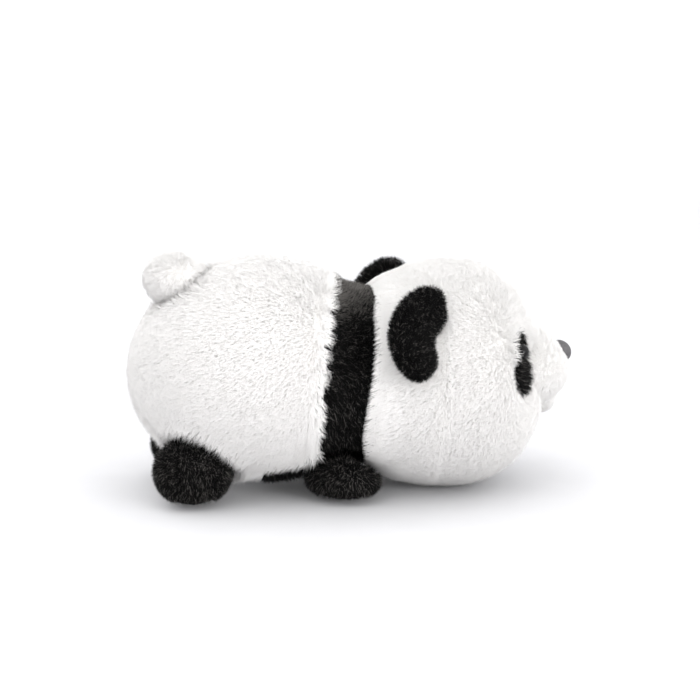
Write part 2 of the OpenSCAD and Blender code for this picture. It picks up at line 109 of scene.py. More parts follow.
# How widely the muzzle's outline blends into the head's
MUZZLE_BLEND = 3.5


# ---------------------------------------------------------------- small helpers


SIDES = ((1, "left"), (-1, "right"))


def mirror(points, side):
    return points * np.array([1, side, 1])


def unit(v):
    return v / np.maximum(np.linalg.norm(v, axis=-1, keepdims=True), 1e-9)


def smooth(t):
    t = np.clip(t, 0, 1)
    return t * t * (3 - 2 * t)


def poles(axis, first):
    """Three axes to measure a ray's angle w from, and its turn s round."""
    axis, first = np.array(axis, float), np.array(first, float)
    return axis, first, np.cross(first, axis)


def ray(grid, w, s):
    w, s = np.radians(w)[..., None], np.radians(s)[..., None]
    return np.cos(w) * grid[0] + np.sin(w) * (np.cos(s) * grid[1] + np.sin(s) * grid[2])


FORWARD = poles([1, 0, 0], [0, 0, 1])
DOWN = poles([0, 0, -1], [1, 0, 0])
TAILWARD = poles(unit(TAIL_OUT), [0, 1, 0])


def tilted(w, s):
    w, s = np.array(float(w)), np.array(float(s))
    return poles(ray(FORWARD, w, s), ray(FORWARD, w + 90, s))


EYE_GRID = tilted(EYE_ANGLE, EYE_TURN)
PATCH_GRID = tilted(PATCH_ANGLE, PATCH_TURN)
HOLLOW_GRID = tilted(HOLLOW_ANGLE, HOLLOW_TURN)


def turned(p, a):
    """Points in axes turned by an angle about Z."""
    a = math.radians(a)
    x, y = p[..., 0], p[..., 1]
    return np.stack([x * math.cos(a) + y * math.sin(a), y * math.cos(a) - x * math.sin(a), p[..., 2]], -1)


def crossing(o, d, c, r, leave=True):
    """Distance from o along d to where a ray leaves, or enters, an ellipsoid."""
    q, w = (o - c) / r, d / r
    a, b = (w * w).sum(-1), (q * w).sum(-1)
    s = b * b - a * ((q * q).sum(-1) - 1)
    root = np.sqrt(np.maximum(s, 0))
    hit = (s >= 0) & (root >= b)
    return np.where(hit, ((root if leave else -root) - b) / a, 0.0 if leave else FAR)


def soft_max(a, b, r):
    """The larger of two distances, blended where they differ by less than r."""
    h = np.clip(0.5 + 0.5 * (a - b) / r, 0, 1)
    return b + (a - b) * h + r * h * (1 - h)


def bisect(f, low, high):
    """Where f, below 0 at low, rises through 0, for arrays."""
    low, high = np.array(low, float), np.array(high, float)
    for _ in range(30):
        mid = (low + high) / 2
        above = f(mid) > 0
        low, high = np.where(above, low, mid), np.where(above, mid, high)
    return (low + high) / 2


def lattice(cells, seed):
    """A repeatable number from 0 to 1 for each cell."""
    h = cells.astype(np.int64) @ np.array([73856093, 19349663, 83492791]) + seed * 2654435761
    h = (h ^ (h >> 13)) * 1274126177
    return ((h ^ (h >> 16)) & 0xFFFF) / 65535.0


def noise(p, size, seed):
    """Smooth noise from -1 to 1 over points p, with lumps of that size in millimetres."""
    q = np.asarray(p, float) / size
    cell = np.floor(q)
    f = smooth(q - cell)
    total = np.zeros(q.shape[:-1])
    for i in (0, 1):
        for j in (0, 1):
            for k in (0, 1):
                corner = np.array([i, j, k])
                share = np.where(corner == 1, f, 1 - f).prod(-1)
                total += share * lattice(cell + corner, seed)
    return total * 2 - 1


def vector_noise(p, size, seed):
    return np.stack([noise(p, size, seed + i) for i in range(3)], -1)


# ---------------------------------------------------------------- outlines


def body_pocket(d, k):
    """Distance to the hollows of legs and tail, where short pile lets the cloth lie less deep."""
    k = 0.3 * k
    pockets = [crossing(BODY, d, TAIL, TAIL_POCKET + k, False)]
    for centre, half, yaw in POCKETS:
        for side in (1, -1):
            start = turned(BODY - centre * (1, side, 1), side * yaw)
            pockets.append(crossing(start, turned(d, side * yaw), np.zeros(3), half + k, False))
    return np.min(pockets, axis=0)


def near_pocket(p):
    """1 at the edge of a leg's hollow, falling to 0 a few millimetres away."""
    share = np.full(p.shape[:-1], 9.0)
    for centre, half, yaw in POCKETS:
        for side in (1, -1):
            q = turned(p - centre * (1, side, 1), side * yaw) / half
            share = np.minimum(share, np.linalg.norm(q, axis=-1))
    return smooth((1.4 - share) / 0.3)


def body_outline(d, k):
    """Reach of the torso k under the CAD's outline, without the hollows."""
    outline = crossing(BODY, d, BODY, BODY_HALF - k)
    front = crossing(BODY, d, NECK, np.full(3, NECK_R - k))
    t = smooth(((BODY + front[..., None] * d)[..., 0] - BLEND_FROM) / BLEND_LENGTH)
    return outline * (1 - t) + front * t


def body_reach(d, k):
    return np.minimum(body_outline(d, k), body_pocket(d, k))


def head_length(x, s):
    rear = HEAD_REAR[0] + CHEEK * np.exp(-(((np.abs(s) - 115) / 38) ** 2))
    return np.where(x > 0, HEAD_FRONT[0], rear), np.where(x > 0, HEAD_FRONT[1], HEAD_REAR[1])


def hollow(d):
    """Depth of the hollows in which the eyes lie."""
    p = d * np.where(d[..., 1:2] < 0, (1, -1, 1), (1, 1, 1))
    out = p @ HOLLOW_GRID[0]
    a, b = (np.degrees(np.arctan2(p @ HOLLOW_GRID[i], out)) for i in (1, 2))
    return HOLLOW_DEPTH * np.exp(-((a / HOLLOW_HALF[0]) ** 2) - (b / HOLLOW_HALF[1]) ** 2)


def head_reach(d, k):
    x = d[..., 0]
    half, n = head_length(x, np.degrees(np.arctan2(d[..., 1], d[..., 2])))
    level = np.hypot(d[..., 1] / (HEAD_WIDE - k), d[..., 2] / (HEAD_HIGH - k))
    outline = ((np.abs(x) / (half - k)) ** n + level**n) ** (-1 / n) - hollow(d)
    ground = (HEAD[2] - k) / np.maximum(-d[..., 2], 1e-6)
    return np.minimum(outline, ground)


def head_radius(x, s, k):
    """Radius of the head at a place along X and a turn s round it."""
    half, n = head_length(x - HEAD[0], np.where(s > 180, s - 360, s))
    part = np.maximum(0, 1 - (np.abs(x - HEAD[0]) / (half - k)) ** n) ** (1 / n)
    s = np.radians(s)
    outline = part / np.hypot(np.sin(s) / (HEAD_WIDE - k), np.cos(s) / (HEAD_HIGH - k))
    return np.minimum(outline, (HEAD[2] - k) / np.maximum(-np.cos(s), 1e-6))


def inside_head(p, k):
    """How far a point is inside the head's rear half with k of room round it."""
    y, z = p[..., 1], p[..., 2] - HEAD[2]
    return head_radius(p[..., 0], np.degrees(np.arctan2(y, z)), -k) - np.hypot(y, z)


def muzzle_reach(d, k):
    return crossing(HEAD, d, MUZZLE, MUZZLE_HALF - k)


def muzzle_rim(s):
    """Angle at which the muzzle's outline runs into the head's."""

    def rise(w):
        d = ray(FORWARD, w, s)
        return head_reach(d, 0) - muzzle_reach(d, 0)

    return bisect(rise, np.full(s.shape, 4.0), np.full(s.shape, 60.0))


def rim_x(s, k):
    """Where along X the head's outline meets its socket for the neck."""

    def outside(x):
        return head_radius(x, s, k) - np.sqrt(SOCKET_R**2 - (x - NECK[0]) ** 2)

    return bisect(outside, np.full(s.shape, NECK[0] + 5), np.full(s.shape, SEAM_X))


# ---------------------------------------------------------------- meshes


def mesh_object(name, verts, faces, materials, index=None):
    """A mesh object from points in millimetres and faces that all have the same number of corners."""
    me = bpy.data.meshes.new(name)
    faces = np.asarray(faces, np.int32)
    count, corners = faces.shape
    me.vertices.add(len(verts))
    me.vertices.foreach_set("co", (np.asarray(verts) * MM).astype(np.float32).ravel())
    me.loops.add(count * corners)
    me.loops.foreach_set("vertex_index", faces.ravel())
    me.polygons.add(count)
    me.polygons.foreach_set("loop_start", np.arange(0, count * corners, corners, dtype=np.int32))
    me.polygons.foreach_set("use_smooth", np.full(count, True))
    for material in materials:
        me.materials.append(material)
    if index is not None:
        me.polygons.foreach_set("material_index", np.asarray(index, np.int32))
    me.update(calc_edges=True)
    obj = bpy.data.objects.new(name, me)
    bpy.context.scene.collection.objects.link(obj)
    return obj


def grid_faces(rows, columns, closed, start=0):
    i, j = np.meshgrid(np.arange(rows - 1), np.arange(columns if closed else columns - 1), indexing="ij")
    a, d = i * columns + j, i * columns + (j + 1) % columns
    return np.stack([a, a + columns, d + columns, d], -1).reshape(-1, 4) + start


def weld(obj):
    """Joins doubled points, as at a tip, and turns every face outward."""
    bm = bmesh.new()
    bm.from_mesh(obj.data)
    bmesh.ops.remove_doubles(bm, verts=bm.verts, dist=TOUCHING)
    bmesh.ops.recalc_face_normals(bm, faces=bm.faces)
    bm.to_mesh(obj.data)
    bm.free()
    obj.data.update()
    return obj


def shell(name, outer, inner, closed, material):
    """A closed piece of cloth between two grids of points."""
    rows, columns = outer.shape[:2]
    n = rows * columns
    faces = [grid_faces(rows, columns, closed), grid_faces(rows, columns, closed, n)[:, ::-1]]
    last = (rows - 1) * columns
    around = np.arange(columns if closed else columns - 1)
    following = (around + 1) % columns
    for row, turn in ((0, 1), (last, -1)):
        edge = np.stack([row + around, row + following, n + row + following, n + row + around], -1)
        faces.append(edge[:, ::turn])
    if not closed:
        down = np.arange(rows - 1) * columns
        for column, turn in ((0, -1), (columns - 1, 1)):
            a, b = down + column, down + columns + column
            faces.append(np.stack([a, b, n + b, n + a], -1)[:, ::turn])
    points = np.concatenate([outer.reshape(-1, 3), inner.reshape(-1, 3)])
    return weld(mesh_object(name, points, np.concatenate(faces), [material]))


def solid(name, grid, material):
    """A closed form from rows of points that run all round, with a tip at each end."""
    rows, columns = grid.shape[:2]
    return weld(mesh_object(name, grid.reshape(-1, 3), grid_faces(rows, columns, True), [material]))


def normals(grid, closed):
    """Outward normals of a grid of points whose rows run from a pole outward."""
    if closed:
        across = np.roll(grid, -1, 1) - np.roll(grid, 1, 1)
    else:
        across = np.gradient(grid, axis=1)
    along = np.gradient(grid, axis=0)
    n = np.cross(across, along)
    for end, near in ((0, 1), (-1, -2)):
        short = np.linalg.norm(across[end], axis=-1) < 1e-3
        if short.all():
            n[end] = unit(n[near]).mean(0)
    return unit(n)


# ---------------------------------------------------------------- materials


def principled(name, colour, roughness, **sockets):
    m = bpy.data.materials.new(name)
    m.use_nodes = True
    b = m.node_tree.nodes["Principled BSDF"]
    b.inputs["Base Color"].default_value = (*colour, 1)
    b.inputs["Roughness"].default_value = roughness
    for key, value in sockets.items():
        b.inputs[key.replace("_", " ")].default_value = value
    m.diffuse_color = (*colour, 1)
    return m


def link(tree, a, b):
    tree.links.new(a, b)


def textured(name, dark, light, roughness, scale, bump, distance, weave=0.0, **sockets):
    """A finish whose colour, roughness and height vary over the surface, with a knit or grain in it."""
    m = principled(name, light, roughness[0], **sockets)
    tree = m.node_tree
    b = tree.nodes["Principled BSDF"]
    add = tree.nodes.new
    place = add("ShaderNodeTexCoord")
    coarse, fine = add("ShaderNodeTexNoise"), add("ShaderNodeTexNoise")
    for node, size in ((coarse, scale * 0.12), (fine, scale)):
        node.inputs["Scale"].default_value = size
        node.inputs["Detail"].default_value = 4
        link(tree, place.outputs["Object"], node.inputs["Vector"])
    mix = add("ShaderNodeMix")
    mix.data_type = "RGBA"
    mix.inputs["A"].default_value = (*dark, 1)
    mix.inputs["B"].default_value = (*light, 1)
    both = add("ShaderNodeMath")
    both.operation = "MULTIPLY_ADD"
    both.inputs[1].default_value = 0.5
    link(tree, fine.outputs["Fac"], both.inputs[0])
    half = add("ShaderNodeMath")
    half.operation = "MULTIPLY"
    half.inputs[1].default_value = 0.5
    link(tree, coarse.outputs["Fac"], half.inputs[0])
    link(tree, half.outputs[0], both.inputs[2])
    spread = add("ShaderNodeMapRange")
    spread.inputs["From Min"].default_value = 0.35
    spread.inputs["From Max"].default_value = 0.65
    link(tree, both.outputs[0], spread.inputs["Value"])
    link(tree, spread.outputs["Result"], mix.inputs["Factor"])
    link(tree, mix.outputs["Result"], b.inputs["Base Color"])
    rough = add("ShaderNodeMapRange")
    rough.inputs["To Min"].default_value, rough.inputs["To Max"].default_value = roughness
    link(tree, coarse.outputs["Fac"], rough.inputs["Value"])
    link(tree, rough.outputs["Result"], b.inputs["Roughness"])
    height = fine.outputs["Fac"]
    if weave:
        ribs = []
        for direction in ("X", "Z"):
            wave = add("ShaderNodeTexWave")
            wave.bands_direction = direction
            wave.inputs["Scale"].default_value = weave
            wave.inputs["Distortion"].default_value = 1.5
            link(tree, place.outputs["Object"], wave.inputs["Vector"])
            ribs.append(wave.outputs["Fac"])
        knit = add("ShaderNodeMath")
        knit.operation = "MULTIPLY"
        link(tree, ribs[0], knit.inputs[0])
        link(tree, ribs[1], knit.inputs[1])
        total = add("ShaderNodeMath")
        link(tree, knit.outputs[0], total.inputs[0])
        link(tree, fine.outputs["Fac"], total.inputs[1])
        height = total.outputs[0]
    node = add("ShaderNodeBump")
    node.inputs["Strength"].default_value = bump
    node.inputs["Distance"].default_value = distance
    link(tree, height, node.inputs["Height"])
    link(tree, node.outputs["Normal"], b.inputs["Normal"])
    return m


def tones(name, colours, roughness, **sockets):
    return [principled(f"{name}_{i}", c, roughness, **sockets) for i, c in enumerate(colours)]


WHITE_CLOTH = textured(
    "white_backing", (0.78, 0.765, 0.74), (0.9, 0.89, 0.87), (0.8, 0.95), 900, 0.4, 0.0004, 700
)
BLACK_CLOTH = textured(
    "black_backing", (0.003, 0.003, 0.0032), (0.008, 0.0077, 0.008), (0.85, 1.0), 900, 0.4, 0.0004, 700,
    Specular_IOR_Level=0.05,
)
FIBRE = textured("fibre_filling", (0.7, 0.7, 0.68), (0.9, 0.9, 0.88), (0.85, 1.0), 260, 0.8, 0.002)
EYE_PLASTIC = textured(
    "eye_plastic", (0.002, 0.002, 0.0025), (0.006, 0.005, 0.005), (0.1, 0.18), 300, 0.02, 0.0001,
    Specular_IOR_Level=0.15,
)
NOSE_PLASTIC = textured(
    "nose_plastic", (0.045, 0.043, 0.046), (0.075, 0.071, 0.075), (0.5, 0.68), 700, 0.25, 0.00035
)
WASHER_PLASTIC = textured(
    "washer_plastic", (0.66, 0.66, 0.63), (0.78, 0.78, 0.75), (0.35, 0.5), 400, 0.1, 0.0002
)
WHITE_FUR = tones(
    "white_fur",
    [(0.968, 0.955, 0.941), (0.96, 0.945, 0.929), (0.976, 0.966, 0.955), (0.948, 0.93, 0.91)],
    0.9,
    Specular_IOR_Level=0.15,
)
# The first three tones of the black pile vary at random; the last, light grey one is a painted glint, fibres
# coloured to stand in for the shine of light on black fibres
BLACK_FUR = tones(
    "black_fur",
    [(0.0008, 0.0008, 0.0009), (0.0022, 0.0021, 0.0021), (0.009, 0.0088, 0.0086), (0.12, 0.113, 0.106)],
    0.5,
    Specular_IOR_Level=0.08,
)


# ---------------------------------------------------------------- pile


def sample(points, normal, closed, density, rng, params=()):
    """Random places on a grid of points: the points, normals and any other values there."""
    rows, columns = points.shape[:2]
    quads = grid_faces(rows, columns, closed)
    flat = points.reshape(-1, 3)
    tri = np.concatenate([quads[:, [0, 1, 2]], quads[:, [0, 2, 3]]])
    a, b, c = (flat[tri[:, k]] for k in range(3))
    area = np.linalg.norm(np.cross(b - a, c - a), axis=1) / 2
    n = int(density * area.sum())
    pick = tri[np.searchsorted(np.cumsum(area) / area.sum(), rng.random(n)).clip(0, len(tri) - 1)]
    u, v = rng.random(n), rng.random(n)
    over = u + v > 1
    u, v = np.where(over, 1 - u, u), np.where(over, 1 - v, v)
    share = np.stack([1 - u - v, u, v], 1)

    def value(grid):
        flat = grid.reshape(len(points.reshape(-1, 3)), -1)
        return (flat[pick] * share[..., None]).sum(1)

    return [value(points), unit(value(normal))] + [value(np.asarray(p, float))[:, 0] for p in params]


# Fibres in one piece, how deep they root in the cloth, and how far they stay above the floor
FUR_MOST, ROOT_DEPTH, FLOOR_CLEAR = 32000, 0.4, 0.15
THIRD_TURN = 2.0944
# For each cloth: tones and their shares, range of lengths, clumping, spread, and how far the fibres'
# shading follows the surface they stand on
PILES = {
    "white_plush": (WHITE_FUR, (0.42, 0.28, 0.2, 0.1), (0.86, 1.08), 0.3 * 0.2, 0.3 * 0.65, 0.85),
    # In the black pile the last share goes to its painted-glint tone
    "black_plush": (BLACK_FUR, (0.58, 0.27, 0.09, 0.06), (0.78, 1.12), 0.3, 0.3, 0.35),
}


def fur(name, body, slot, where, normal, lean, length, width, seed, painted_glint_share=0.0):
    """Fibres, each a slim closed spindle with a bend: where they stand, how they lean and how long they are.

    A share of them, which may differ from place to place, has the last and lightest tone: in the black pile a
    painted glint, light grey fibres that stand in for the shine of light.
    """
    materials, shares, lengths, clump, spread, share = PILES[slot]
    rng = np.random.default_rng(seed)
    n = len(where)
    length = length * rng.uniform(*lengths, n)
    tuft = vector_noise(where, 2.6, seed) * clump + vector_noise(where, 9.0, seed + 7) * clump * 0.5
    first = unit(normal + lean * 0.7 + rng.normal(0, spread * 0.6, (n, 3)) + tuft * 0.5)
    second = unit(normal * 0.55 + lean * 1.25 + rng.normal(0, spread, (n, 3)) + tuft * 1.2)
    root = where - normal * ROOT_DEPTH
    middle = root + first * (length * 0.5)[:, None]
    end = middle + second * (length * 0.58)[:, None]
    side = unit(np.cross(first, rng.normal(0, 1, (n, 3))))
    other = np.cross(first, side)
    radius = (width / 2 * rng.uniform(0.75, 1.25, n))[:, None]
    corners = (0, THIRD_TURN, 2 * THIRD_TURN)
    ring = [middle + radius * (math.cos(a) * side + math.sin(a) * other) for a in corners]
    points = np.stack([root, *ring, end], 1)
    points[..., 2] = np.maximum(points[..., 2], FLOOR_CLEAR)
    # Light meets a pile as one soft surface, so the fibres' own normals are drawn toward that surface's
    own = np.stack([-first, *(unit(r - middle) for r in ring), second], 1)
    soft = unit(own * (1 - share) + normal[:, None] * share)
    tone = rng.choice(len(materials), n, p=shares)
    # Painted glints: this share of the fibres takes the last, lightest tone
    tone = np.where(rng.random(n) < painted_glint_share, len(materials) - 1, tone)
    parts = math.ceil(n / FUR_MOST)
    for part in range(parts):
        some, tint, facing = points[part::parts], tone[part::parts], soft[part::parts]
        base = np.arange(len(some))[:, None, None] * 5
        faces = base + np.array([[0, 2, 1], [0, 3, 2], [0, 1, 3], [4, 1, 2], [4, 2, 3], [4, 3, 1]])
        label = name if parts == 1 else f"{name}_{part}"
        obj = mesh_object(label, some.reshape(-1, 3), faces.reshape(-1, 3), materials, np.repeat(tint, 6))
        custom = obj.data.attributes.new("custom_normal", "FLOAT_VECTOR", "POINT")
        custom.data.foreach_set("vector", facing.astype(np.float32).ravel())
        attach(obj, body)


def along_surface(direction, normal):
    """The part of a direction that lies in the surface."""
    d = np.broadcast_to(np.asarray(direction, float), normal.shape)
    return d - (d * normal).sum(-1, keepdims=True) * normal


def finished(obj, body, node):
    """Puts a soft piece in the frame in place of its CAD node."""
    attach(obj, body)
    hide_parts(node)
    return obj


DENSITY = 0.96


# ---------------------------------------------------------------- torso


def groove(distance, depth, half):
    """How far a seam pulls the cloth in at a distance from it."""
    return depth * np.exp(-((distance / half) ** 2))


columns_s = np.concatenate(
    [
        np.linspace(0, SIDE_ANGLE, 55)[:-1],
        np.linspace(SIDE_ANGLE, 360 - SIDE_ANGLE, 35)[:-1],
        np.linspace(360 - SIDE_ANGLE, 360, 55)[:-1],
    ]
)
front_rim = BAND_FRONT - 6 * np.maximum(0, np.cos(np.radians(columns_s)))
band_rim = BAND_ANGLE - BAND_LIFT * np.abs(np.cos(np.radians(columns_s / 2))) ** 6


def between(a, b, n, skip=1):
    return a + np.linspace(0, 1, n)[skip:, None] * (b - a)


level = np.ones(columns_s.shape)
W = np.concatenate(
    [
        between(0.01 * level, front_rim, 10, 0),
        between(front_rim, band_rim, 12),
        between(band_rim, CHEST_ANGLE * level, 13),
        between(CHEST_ANGLE * level, 179.99 * level, 36),
    ]
)
S = np.broadcast_to(columns_s, W.shape)
# Rows and columns at which the panels meet, and how far forward under the head the pile goes
ROW_BAND, ROW_SIDE, ROW_BELLY = 9, 20, 32
COLUMN_UNDER, COLUMN_RIGHT = 54, 88
PILE_END = 22
D = ray(FORWARD, W, S)


def torso(k):
    return BODY + body_reach(D, k)[..., None] * D


torso_out = torso(LONG)
torso_n = normals(torso_out, True)
lumps = noise(torso_out, 26.0, 3) * 0.5
side_seam = np.minimum(np.abs(S - SIDE_ANGLE), np.abs(S - 360 + SIDE_ANGLE))
back_seam = np.minimum(S, 360 - S)
rump = smooth((W - BAND_FRONT) / 10)
arc = 60 * np.sin(np.radians(W)) * np.pi / 180
past_band = (W - band_rim) * BODY_DEGREE
seams = groove(back_seam * arc, 1.4, BODY_SEAM) * rump + groove(side_seam * arc, 1.0, BODY_SEAM) * rump
seams = seams + groove(past_band, 1.0, BODY_SEAM)
torso_out = torso_out + torso_n * (lumps - seams)[..., None]
torso_n = normals(torso_out, True)
torso_in = torso_out - torso_n * CLOTH_T
torso_pocket = body_outline(D, LONG) - body_reach(D, LONG)

body_fill = solid("body_filling", torso_out - torso_n * (CLOTH_T + FILL_GAP), FIBRE)
finished(body_fill, "body", "body_stuffing")


def torso_panel(node, rows, columns, cloth):
    """One panel of the torso, between rows and columns of its grid."""
    j = np.arange(columns[0], columns[1] + 1) % len(columns_s)
    i = np.arange(rows[0], rows[1] + 1)
    outer, inner = torso_out[np.ix_(i, j)], torso_in[np.ix_(i, j)]
    piece = shell(node + "_cloth", outer, inner, False, cloth)
    finished(piece, "body", node)
    return i, j


def torso_fur(node, block, density, slot, seed):
    """The pile of one panel of the torso."""
    i, j = block
    s = S[np.ix_(i, j)].copy()
    s[:, j < j[0]] += 360
    rng = np.random.default_rng(seed)
    pocket = torso_pocket[np.ix_(i, j)]
    p, n, s, deep, over_band = sample(
        torso_out[np.ix_(i, j)], torso_n[np.ix_(i, j)], False, density * DENSITY, rng,
        (s, pocket, past_band[np.ix_(i, j)]),
    )
    edge = np.minimum(np.abs(s - SIDE_ANGLE), np.abs(s - 360 + SIDE_ANGLE))
    white = slot == "white_plush"
    # The white pile hangs ragged over the belly's black and over the legs
    hang = smooth((9 - edge) / 9) * (n[:, 2] < 0.2)
    hang = np.maximum(hang, near_pocket(p) * (n[:, 2] < 0.3)) * (1.0 if white else 0.3)
    length = (5.6 if white else 5.2) * (1 + 0.6 * hang)
    # In the legs' hollows and under the head the pile is short, round the tail's foot it is long
    by_tail = smooth((1.6 - np.linalg.norm((p - TAIL) / TAIL_HALF, axis=-1)) / 0.3)
    length = length * np.where((deep > 0.6) & (by_tail < 0.5), 0.55 if white else 0.4, 1.0)
    length = length * (1 + 0.25 * by_tail)
    length *= 1 - 0.75 * smooth((p[:, 0] - 6) / 5)
    keep = p[:, 0] < PILE_END
    clear = np.minimum(1.0, np.maximum(0.35, (p[:, 2] - 1.5) / 4.0))
    length *= np.where(n[:, 2] < -0.3, clear, 1.0)
    # The white pile leans back, and forward over the shoulder band
    down = along_surface((0, 0, -1), n)
    fall = -1.0 if white else 0.25
    lean = along_surface((fall, 0, -0.55), n) * (0.55 - 0.4 * by_tail)[:, None] + down * (hang * 0.9)[:, None]
    front = smooth(1 - over_band / 9) if white else 0 * over_band
    lean += along_surface((1, 0, -0.25), n) * (front * (1.0 + 0.9 * noise(p, 4.0, 31)))[:, None]
    length *= 1 + 0.3 * front
    # Toward the top of the shoulder band more black fibres take the lightest tone: a painted highlight where
    # the light from above falls
    painted_glint_share = 0.0 if white else 0.9 * smooth((p[keep, 2] - 94) / 18)
    p, n, lean, length = p[keep], n[keep], lean[keep], length[keep]
    fur(node + "_fur", "body", slot, p, n, lean, length, BODY_FIBRE, seed, painted_glint_share=painted_glint_share)


LAST = len(W) - 1
N_COLUMNS = len(columns_s)
# Node, rows, columns, whether it is white, and fibres on a square millimetre
TORSO = (
    ("body_panel_left", (ROW_SIDE, LAST), (0, COLUMN_UNDER), True, 4.4),
    ("body_panel_right", (ROW_SIDE, LAST), (COLUMN_RIGHT, N_COLUMNS), True, 4.4),
    ("belly_panel", (ROW_BELLY, LAST), (COLUMN_UNDER, COLUMN_RIGHT), True, 1.8),
    ("chest_panel", (ROW_BAND, ROW_BELLY), (COLUMN_UNDER, COLUMN_RIGHT), False, 2.4),
    ("shoulder_band_left", (ROW_BAND, ROW_SIDE), (0, COLUMN_UNDER), False, 5.0),
    ("shoulder_band_right", (ROW_BAND, ROW_SIDE), (COLUMN_RIGHT, N_COLUMNS), False, 5.0),
)
for number, (node, rows, columns, white, density) in enumerate(TORSO):
    cloth, slot = (WHITE_CLOTH, "white_plush") if white else (BLACK_CLOTH, "black_plush")
    torso_fur(node, torso_panel(node, rows, columns, cloth), density, slot, 100 + number)

# The neck is a cap of filling inside the head
cap_w, cap_s = np.meshgrid(np.linspace(0.01, NECK_RIM, 24), np.linspace(0, 360, 73)[:-1], indexing="ij")
cap = ray(FORWARD, cap_w, cap_s)
NECK_OUT, NECK_IN = NECK_R - 0.1, NECK_R - 5.2
neck = shell("neck_filling", NECK + NECK_OUT * cap, NECK + NECK_IN * cap, True, FIBRE)
finished(neck, "neck", "neck_stuffing")


# ---------------------------------------------------------------- head

HEAD_COLUMNS = 128
head_s = np.linspace(0, 360, HEAD_COLUMNS + 1)[:-1]
MUZZLE_ROWS, FACE_ROWS, BACK_ROWS = 14, 26, 16
RIM_DEPTH = 2.0
rim_w = muzzle_rim(head_s)


def head_grid(depth):
    """Rows from the tip of the muzzle over the face and the seam to the rim behind, under the pile's ends."""
    seam_r = head_radius(np.full(head_s.shape, SEAM_X), head_s, depth)
    seam_w = np.degrees(np.arctan2(seam_r, SEAM_X - HEAD[0]))
    inner = np.linspace(0.001, 1, MUZZLE_ROWS)[:, None] * rim_w
    outer = rim_w + np.linspace(0, 1, FACE_ROWS)[1:, None] * (seam_w - rim_w)
    w = np.concatenate([inner, outer])
    s = np.broadcast_to(head_s, w.shape)
    d = ray(FORWARD, w, s)
    reach = soft_max(head_reach(d, depth), muzzle_reach(d, depth - LONG + SHORT), MUZZLE_BLEND)
    front = HEAD + reach[..., None] * d
    # The cloth comes up to the ends of the pile toward the rim, which lies on the shoulders
    t = np.linspace(0, 1, BACK_ROWS)[1:, None]
    x = SEAM_X + (rim_x(head_s, RIM_DEPTH) - SEAM_X) * t
    s = np.broadcast_to(head_s, x.shape)
    r = head_radius(x, s, depth + (RIM_DEPTH - depth) * smooth((t - 0.4) / 0.6))
    back = np.stack([x, r * np.sin(np.radians(s)), HEAD[2] + r * np.cos(np.radians(s))], -1)
    return np.concatenate([front, back])


head_out = head_grid(HEAD_DEPTH)
head_n = normals(head_out, True)
SEAM_ROW = MUZZLE_ROWS + FACE_ROWS - 2
HEAD_ROWS = len(head_out)
row_x = head_out[..., 0]
lumps = noise(head_out, 28.0, 11) * 0.45
middle_seam = np.minimum(head_s, 360 - head_s)
seams = groove(row_x - SEAM_X, 0.35, HEAD_SEAM)
seams = seams + groove(middle_seam * HEAD_DEGREE, 0.9, HEAD_SEAM) * smooth((HEAD[0] + 30 - row_x) / 20)
head_out = head_out + head_n * (lumps - seams)[..., None]
head_n = normals(head_out, True)
head_in = head_out - head_n * CLOTH_T

rim = head_in[-1] - head_n[-1] * FILL_GAP
socket_angle = np.degrees(np.arccos((rim[:, 0] - NECK[0]) / np.linalg.norm(rim - NECK, axis=1)))
socket_t = np.linspace(1, 0.001, 12)[1:, None]
socket_r = np.linalg.norm(rim - NECK, axis=1) * socket_t + SOCKET_R * (1 - socket_t)
turn = np.degrees(np.arctan2(rim[:, 1], rim[:, 2] - NECK[2]))
socket_d = ray(FORWARD, socket_angle * socket_t, np.broadcast_to(turn, socket_r.shape))
socket = NECK + socket_r[..., None] * socket_d
filling_grid = np.concatenate([head_out - head_n * (CLOTH_T + FILL_GAP), socket])
finished(solid("head_filling", filling_grid, FIBRE), "head", "head_stuffing")


def patch_share(p):
    """How far from an eye patch's middle a point is, as a share of the way to its edge."""
    local = unit((p - HEAD) * np.where(p[..., 1:2] < 0, (1, -1, 1), (1, 1, 1)))
    w = np.degrees(np.arccos(np.clip(local @ PATCH_GRID[0], -1, 1)))
    s = np.degrees(np.arctan2(local @ PATCH_GRID[2], local @ PATCH_GRID[1]))
    a = np.radians(s + PATCH_LEAN)
    return w * np.hypot(np.cos(a) / PATCH_HALF[1], np.sin(a) / PATCH_HALF[0])


def chin_share(p):
    """How far from the chin's middle a point is, as a share of the way to its edge."""
    q = (p - CHIN) / (CHIN_HALF + 1.0)
    return np.linalg.norm(q, axis=-1)


def head_piece(node, rows, columns):
    """One panel of the head, between rows and columns of its grid."""
    i = np.arange(rows[0], rows[1] + 1)
    j = np.arange(columns[0], columns[1] + 1) % HEAD_COLUMNS
    closed = columns[1] - columns[0] >= HEAD_COLUMNS
    if closed:
        j = j[:-1]
    piece = shell(node + "_cloth", head_out[np.ix_(i, j)], head_in[np.ix_(i, j)], closed, WHITE_CLOTH)
    finished(piece, "head", node)
    return i, j, closed


EYE_Z = (HEAD + head_reach(EYE_GRID[0], 0.0) * EYE_GRID[0])[2]


